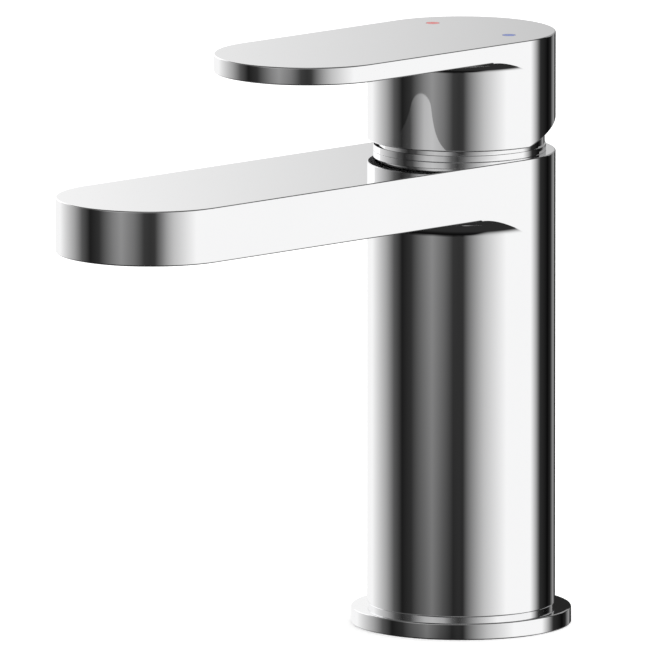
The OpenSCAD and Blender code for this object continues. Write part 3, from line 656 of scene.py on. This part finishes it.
# ---------------------------------------------------------------- lever
# Hub and plate are one zinc casting, as wide as the column and chromed like
# it. The hub's foot is cut back behind, so that it clears the body when it
# tilts. A set screw behind a plug clamps it on the stem, in a square socket.

hub_z, lever_top = 117.15 * mm, 143 * mm
plate_t, plate_reach = 4.27 * mm, 50.7 * mm
plate_marks = (-21 * mm, -31 * mm, -41 * mm)
lever_fillet_r = 2.65 * mm
hub_bore_r, hub_roof = 20.6 * mm, 138 * mm
relief_from, relief_slope = 0.8 * mm, math.tan(math.radians(18.5))
boss_r, boss_z, boss_steps = 7 * mm, 122.5 * mm, 96
socket_half, socket_top = 4.05 * mm, 133.8 * mm
screw_z, screw_r, screw_at = 129.5 * mm, 2.5 * mm, 6 * mm
plug_hole_r, drill_reach, drill_steps = 3.3 * mm, 6 * mm, 64
dot_hole_r, dot_depth, dot_x, dot_y = 1.65 * mm, 0.8 * mm, 13 * mm, 3.1 * mm

plate_z = lever_top - plate_t


def hub_foot(rise):
    """Height of the hub's foot, cut back on a slope behind the axis."""
    return lambda x, y: hub_z + rise + max(0, y - relief_from) * relief_slope


def keep_result(made):
    """Turns what a piece's modifiers make into its plain mesh."""
    bpy.context.view_layer.update()
    seen = made.evaluated_get(bpy.context.evaluated_depsgraph_get())
    result = bpy.data.meshes.new_from_object(seen)
    made.modifiers.clear()
    made.data = result


def drilled(made, hole_r, y):
    """Drills a piece along Y at the screw's height, by a tool that is thrown away afterwards."""
    at = Matrix.Translation((0, y, screw_z)) @ Matrix.Rotation(math.pi / 2, 4, "X")
    tool_mesh = bmesh.new()
    bmesh.ops.create_cone(
        tool_mesh, cap_ends=True, segments=drill_steps, radius1=hole_r, radius2=hole_r,
        depth=drill_reach, matrix=at,
    )
    tool_data = bpy.data.meshes.new("drill")
    tool_mesh.to_mesh(tool_data)
    tool_mesh.free()
    tool = bpy.data.objects.new("drill", tool_data)
    bpy.context.scene.collection.objects.link(tool)
    cut = made.modifiers.new("drill", "BOOLEAN")
    cut.operation, cut.solver, cut.object = "DIFFERENCE", "EXACT", tool
    keep_result(made)
    bpy.data.objects.remove(tool)


lever = bmesh.new()
rows = [ring(lever, column_plan(hub_bore_r), height) for height in (hub_roof, hub_foot(0))]
rows += [
    ring(lever, column_plan(column_r - edge_r * (1 - out)), hub_foot(edge_r * up))
    for out, up in rounding()
]
under_plate = fillet_under(plate_z, lever_fillet_r)
rows += [ring(lever, column_plan(radius), height) for radius, height in under_plate]
skin(lever, rows)
arm(lever, plate_reach, lever_fillet_r, plate_marks, plate_z, lever_top)
for side in (-1, 1):
    pocket(lever, dot_hole_r, (side * dot_x, dot_y), lever_top, lever_top - dot_depth)
turned(lever, [(boss_r, hub_roof), (boss_r, boss_z)], steps=boss_steps)
square = [(x * socket_half, y * socket_half) for x, y in ((1, 1), (-1, 1), (-1, -1), (1, -1))]
socket = [ring(lever, square, height) for height in (boss_z, socket_top)]
skin(lever, socket)
lever.faces.new(socket[1])
for height in (boss_z, hub_roof, plate_z, lever_top):
    face_off(lever, height)
lever_casting = new_piece("lever_casting", lever)
drilled(lever_casting, plug_hole_r, column_r)
drilled(lever_casting, screw_r, screw_at)
dress(lever_casting, polished_chrome, "chrome_lever", "lever", "lever_handle")

# Only the outside is polished. The bore, the boss and the foot's rim are matt, and their near-black
# colour is painted shade for the hollow and the underside
foot_top, slack, facing_down = boss_z + 2 * mm, 0.01 * mm, -0.9
raw_casting_painted_shade = finish(
    "raw_casting_painted_shade", (0.025, 0.025, 0.027), (0.036, 0.036, 0.038), metallic=0, gloss=(0.66, 0.15),
    mark_size=6 * mm, grain=(0.4 * mm, 0.01 * mm),
)
lever_casting.data.materials.append(raw_casting_painted_shade)
# Painted shade: faces inside the hub's hollow, and faces turned down below the foot's top, take the
# near-black matt finish
for face in lever_casting.data.polygons:
    x, y, z = face.center
    inside = math.hypot(x, y) < hub_bore_r + slack and z < hub_roof + slack
    if inside or (face.normal.z < facing_down and z < foot_top):
        face.material_index = 1

repaint(spring_steel, "set_screw")

# The plug's face follows the hub's round wall
plug_r, plug_from, plug_face_r, plug_edge_r = 3.25 * mm, 19.6 * mm, 22.35 * mm, 0.25 * mm
plug_steps, plug_edge_steps = 64, 4
plug_rings = (0.75, 0.5, 0.25)      # shares of its radius
cap = bmesh.new()


def plug_face(x):
    """How far back the plug's curved face lies."""
    return math.sqrt(plug_face_r ** 2 - x ** 2)


rows = [[cap.verts.new((x, plug_from, screw_z + z)) for x, z in circle(plug_r, steps=plug_steps)]]
corner = rounding(plug_edge_steps)
bands = [(plug_r - plug_edge_r * up, plug_edge_r * (1 - out)) for out, up in corner]
bands += [(plug_r * share, 0) for share in plug_rings]
for radius, inset in bands:
    outline = circle(radius, steps=plug_steps)
    rows.append([cap.verts.new((x, plug_face(x) - inset, screw_z + z)) for x, z in outline])
skin(cap, rows)
cap.faces.new(rows[0])
cap.faces.new(rows[-1])
plug_cap = new_piece("plug_cap", cap)
plug_grey = finish(
    "plug_grey", (0.32, 0.33, 0.35), (0.3072, 0.3168, 0.336), metallic=0, gloss=(0.3, 0.12),
    mark_size=4 * mm, grain=(0.25 * mm, 0.005 * mm),
)
dress(plug_cap, plug_grey, "plug_plastic", "lever", "screw_plug")

# Red and blue enamel is filled into the two round pockets and ground level
dot_r, dot_edge_r, dot_steps, dot_edge_steps = 1.6 * mm, 0.06 * mm, 64, 3
hot_red = finish(
    "hot_red", (0.62, 0.05, 0.05), (0.7, 0.09, 0.08), metallic=0, gloss=(0.22, 0.1),
    mark_size=1.5 * mm, grain=(0.2 * mm, 0.002 * mm),
)
cold_blue = finish(
    "cold_blue", (0.04, 0.09, 0.42), (0.06, 0.13, 0.5), metallic=0, gloss=(0.22, 0.1),
    mark_size=1.5 * mm, grain=(0.2 * mm, 0.002 * mm),
)
for name, side, enamel, slot, node in (
    ("hot_dot", -1, hot_red, "red_enamel", "hot_index"),
    ("cold_dot", 1, cold_blue, "blue_enamel", "cold_index"),
):
    drop = bmesh.new()
    section = [(dot_r, lever_top - dot_depth)]
    section += [
        (dot_r - dot_edge_r * up, lever_top - dot_edge_r * (1 - out))
        for out, up in rounding(dot_edge_steps)
    ]
    rings = turned(drop, section, (side * dot_x, dot_y), dot_steps)
    drop.faces.new(rings[0])
    drop.faces.new(rings[-1])
    dress(new_piece(name, drop), enamel, slot, "lever", node)


# ---------------------------------------------------------------- aerator
# A chromed ring screws up into the spout's tip and turns with a key in its
# notches. It holds a moulded honeycomb, with a sieve and a flat seal on top.

aerator_z, aerator_h = 101.75 * mm, 6.9 * mm
aerator_r, aerator_cup_r, aerator_lip_r, aerator_lip_h = 11.95 * mm, 10.2 * mm, 9.4 * mm, 0.8 * mm
key_notches, notch_w, notch_r, notch_h = 12, 1.6 * mm, 10.7 * mm, 1 * mm
sector_steps, notch_steps = 8, 4
honeycomb_z, honeycomb_h = 102.55 * mm, 3.4 * mm
honeycomb_r, honeycomb_rim_r, honeycomb_steps = 10.15 * mm, 9.3 * mm, 96
cell_w, cell_pitch, cell_rows, cell_reach = 1.9 * mm, 2.4 * mm, 9, 8.3 * mm
outlet_axis = Vector((0, -spout_reach, 0))
sector_weld, cell_weld, plate_weld = 2e-6, 1e-5, 1e-6


def new_tree(name, inputs):
    """A Geometry Nodes tree with named inputs, given as {name: socket type}, and their outputs."""
    tree = bpy.data.node_groups.new(name, "GeometryNodeTree")
    tree.is_modifier = True
    tree.interface.new_socket("Geometry", in_out="OUTPUT", socket_type="NodeSocketGeometry")
    for label, kind in {"Geometry": "Geometry", **inputs}.items():
        tree.interface.new_socket(label, in_out="INPUT", socket_type="NodeSocket" + kind)
    return tree, add(tree, "NodeGroupInput").outputs


def weld_nearby(tree, instances, distance):
    """Makes instances real faces, welded where they meet."""
    real = add(tree, "GeometryNodeRealizeInstances", {0: instances}).outputs[0]
    near = {"Geometry": real, "Distance": distance}
    return add(tree, "GeometryNodeMergeByDistance", near).outputs[0]


def end_tree(tree, instances, distance, paint):
    """Ends a tree with real faces in one material."""
    painted = {"Geometry": weld_nearby(tree, instances, distance), "Material": paint}
    done = add(tree, "GeometryNodeSetMaterial", painted).outputs[0]
    add(tree, "NodeGroupOutput", {0: done})


def joined(tree, *parts):
    """Puts pieces of geometry together."""
    made = add(tree, "GeometryNodeJoinGeometry")
    for part in parts:
        tree.links.new(part, made.inputs[0])
    return made.outputs[0]


def grow(made, tree, values):
    """Runs a tree on a piece with its inputs by name, and keeps the result as its plain mesh."""
    step = made.modifiers.new(tree.name, "NODES")
    step.node_group = tree
    for item in tree.interface.items_tree:
        if item.in_out == "INPUT" and item.name in values:
            step[item.identifier] = values[item.name]
    keep_result(made)


def round_the_axis(paint):
    """Repeats one sector of a round piece about its upright axis."""
    tree, given = new_tree("round_the_axis", {"Count": "Int", "Centre": "Vector"})
    spots = add(tree, "GeometryNodePoints", {"Count": given["Count"], "Position": given["Centre"]})
    number = add(tree, "GeometryNodeInputIndex").outputs[0]
    share = math_of(tree, "DIVIDE", number, given["Count"])
    turn = math_of(tree, "MULTIPLY", share, 2 * math.pi)
    spin = add(tree, "ShaderNodeCombineXYZ", {"Z": turn}).outputs[0]
    placed = {"Points": spots.outputs[0], "Instance": given["Geometry"], "Rotation": spin}
    sectors = add(tree, "GeometryNodeInstanceOnPoints", placed).outputs[0]
    end_tree(tree, sectors, sector_weld, paint)
    return tree


def honeycomb(paint):
    """A plate of six-sided cells in staggered rows, as deep as a piece, joined to that piece."""
    tree, given = new_tree("honeycomb", {
        "Pitch": "Float", "Cell Share": "Float", "Reach": "Float", "Depth": "Float",
        "Centre": "Vector", "Rows": "Int",
    })

    # Cell centres in a square number of staggered spots, of which those within reach stay
    rows, pitch = given["Rows"], given["Pitch"]
    number = add(tree, "GeometryNodeInputIndex").outputs[0]
    counted = math_of(tree, "DIVIDE", math_of(tree, "ADD", number, 0.5), rows)
    row = math_of(tree, "FLOOR", counted)
    column = math_of(tree, "SUBTRACT", number, math_of(tree, "MULTIPLY", row, rows))
    middle = math_of(tree, "DIVIDE", math_of(tree, "SUBTRACT", rows, 1), 2)
    up = math_of(tree, "SUBTRACT", row, middle)
    across = math_of(tree, "SUBTRACT", column, middle)
    stagger = math_of(tree, "MULTIPLY", math_of(tree, "PINGPONG", up, 1), 0.5)
    x = math_of(tree, "MULTIPLY", math_of(tree, "ADD", across, stagger), pitch)
    y = math_of(tree, "MULTIPLY", up, math_of(tree, "MULTIPLY", pitch, math.sqrt(3) / 2))
    place = add(tree, "ShaderNodeCombineXYZ", {"X": x, "Y": y}).outputs[0]
    count = math_of(tree, "MULTIPLY", rows, rows)
    spots = add(tree, "GeometryNodePoints", {"Count": count, "Position": place}).outputs[0]
    at = add(tree, "GeometryNodeInputPosition").outputs[0]
    away = add(tree, "ShaderNodeVectorMath", {0: at}, operation="LENGTH").outputs["Value"]
    outside = add(
        tree, "FunctionNodeCompare", {"A": away, "B": given["Reach"]},
        data_type="FLOAT", operation="GREATER_THAN",
    ).outputs[0]
    dropped = {"Geometry": spots, "Selection": outside}
    kept = add(tree, "GeometryNodeDeleteGeometry", dropped).outputs[0]

    # One cell's flat rim is a six-sided face with a smaller one set into it and taken out
    radius = math_of(tree, "DIVIDE", pitch, math.sqrt(3))
    six_sided = {"Radius": radius, "Vertices": 6}
    cell = add(tree, "GeometryNodeMeshCircle", six_sided, fill_type="NGON").outputs[0]
    no_height = {"Mesh": cell, "Offset Scale": 0}
    set_in = add(tree, "GeometryNodeExtrudeMesh", no_height, mode="FACES").outputs
    smaller = {"Geometry": set_in["Mesh"], "Selection": set_in["Top"], "Scale": given["Cell Share"]}
    shrunk = add(tree, "GeometryNodeScaleElements", smaller).outputs[0]
    hole = {"Geometry": shrunk, "Selection": set_in["Top"]}
    open_rim = add(tree, "GeometryNodeDeleteGeometry", hole, domain="FACE").outputs[0]

    # The rims of all cells make one sheet, which is pushed up into walls
    set_out = {"Points": kept, "Instance": open_rim, "Rotation": (0, 0, math.pi / 6)}
    cells = add(tree, "GeometryNodeInstanceOnPoints", set_out).outputs[0]
    sheet = weld_nearby(tree, cells, cell_weld)
    deep = add(tree, "ShaderNodeCombineXYZ", {"Z": given["Depth"]}).outputs[0]
    upwards = {"Mesh": sheet, "Offset": deep, "Offset Scale": 1, "Individual": False}
    walls = add(tree, "GeometryNodeExtrudeMesh", upwards, mode="FACES").outputs["Mesh"]
    underside = add(tree, "GeometryNodeFlipFaces", {0: sheet}).outputs[0]
    moved = {0: joined(tree, walls, underside), "Translation": given["Centre"]}
    plate = add(tree, "GeometryNodeTransform", moved).outputs[0]
    end_tree(tree, joined(tree, plate, given["Geometry"]), plate_weld, paint)
    return tree


# One twelfth of the chromed ring, with a key notch in the middle of it
sector = bmesh.new()
aerator_top = aerator_z + aerator_h
lip_top, notch_top = aerator_z + aerator_lip_h, aerator_z + notch_h
half_sector = math.pi / key_notches
half_lip, half_notch = (math.asin(notch_w / 2 / radius) for radius in (aerator_lip_r, notch_r))


def spoke(section, turn_at):
    """The (radius, height) points of a section, each at the angle that its radius has."""
    made = []
    for radius, height in section:
        turn = turn_at(radius)
        made.append(sector.verts.new((radius * math.cos(turn), radius * math.sin(turn), height)))
    return made


def upright(turn):
    """The same angle at every radius."""
    return lambda radius: turn


def beside_notch(side):
    """The notch's side walls are parallel, so their angle differs with the radius."""
    return lambda radius: side * (half_lip if radius == aerator_lip_r else half_notch)


plain = [(aerator_lip_r, aerator_z), (notch_r, aerator_z), (aerator_r, aerator_z)]
plain += [(aerator_r, aerator_top), (aerator_cup_r, aerator_top), (aerator_cup_r, notch_top)]
plain += [(aerator_cup_r, lip_top), (aerator_lip_r, lip_top)]
roofed = [(notch_r, aerator_z), (aerator_r, aerator_z), (aerator_r, aerator_top)]
roofed += [(aerator_cup_r, aerator_top), (aerator_cup_r, notch_top), (notch_r, notch_top)]
notch_wall = [(aerator_lip_r, aerator_z), (notch_r, aerator_z), (notch_r, notch_top)]
notch_wall += [(aerator_cup_r, notch_top), (aerator_cup_r, lip_top), (aerator_lip_r, lip_top)]
shares = [i / sector_steps for i in range(sector_steps)]
for side in (-1, 1):
    turns = [side * (half_sector + (half_lip - half_sector) * share) for share in shares]
    spokes = [spoke(plain, upright(turn)) for turn in turns]
    skin(sector, spokes + [spoke(plain, beside_notch(side))])
    sector.faces.new(spoke(notch_wall, beside_notch(side)))
over_notch = [half_notch * (2 * i / notch_steps - 1) for i in range(notch_steps + 1)]
skin(sector, [spoke(roofed, upright(turn)) for turn in over_notch])
aerator_ring = new_piece("aerator_ring", sector)
grow(aerator_ring, round_the_axis(polished_chrome), {"Count": key_notches, "Centre": outlet_axis})
dress(aerator_ring, polished_chrome, "chrome_trim", "mixer_body", "aerator_housing")

rim = bmesh.new()
honeycomb_top = honeycomb_z + honeycomb_h
section = [(honeycomb_r, honeycomb_z), (honeycomb_r, honeycomb_top)]
section += [(honeycomb_rim_r, honeycomb_top), (honeycomb_rim_r, honeycomb_z)]
turned(rim, section + section[:1], (0, -spout_reach), honeycomb_steps)
aerator_honeycomb = new_piece("aerator_honeycomb", rim)
grow(aerator_honeycomb, honeycomb(moulded_grey), {
    "Pitch": cell_pitch, "Cell Share": cell_w / cell_pitch, "Reach": cell_reach,
    "Depth": honeycomb_h, "Centre": outlet_axis + Vector((0, 0, honeycomb_z)), "Rows": cell_rows,
})
dress(aerator_honeycomb, moulded_grey, "grey_plastic", "mixer_body", "aerator_insert")
repaint(moulded_white, "aerator_screen")
repaint(black_rubber, "aerator_seal")
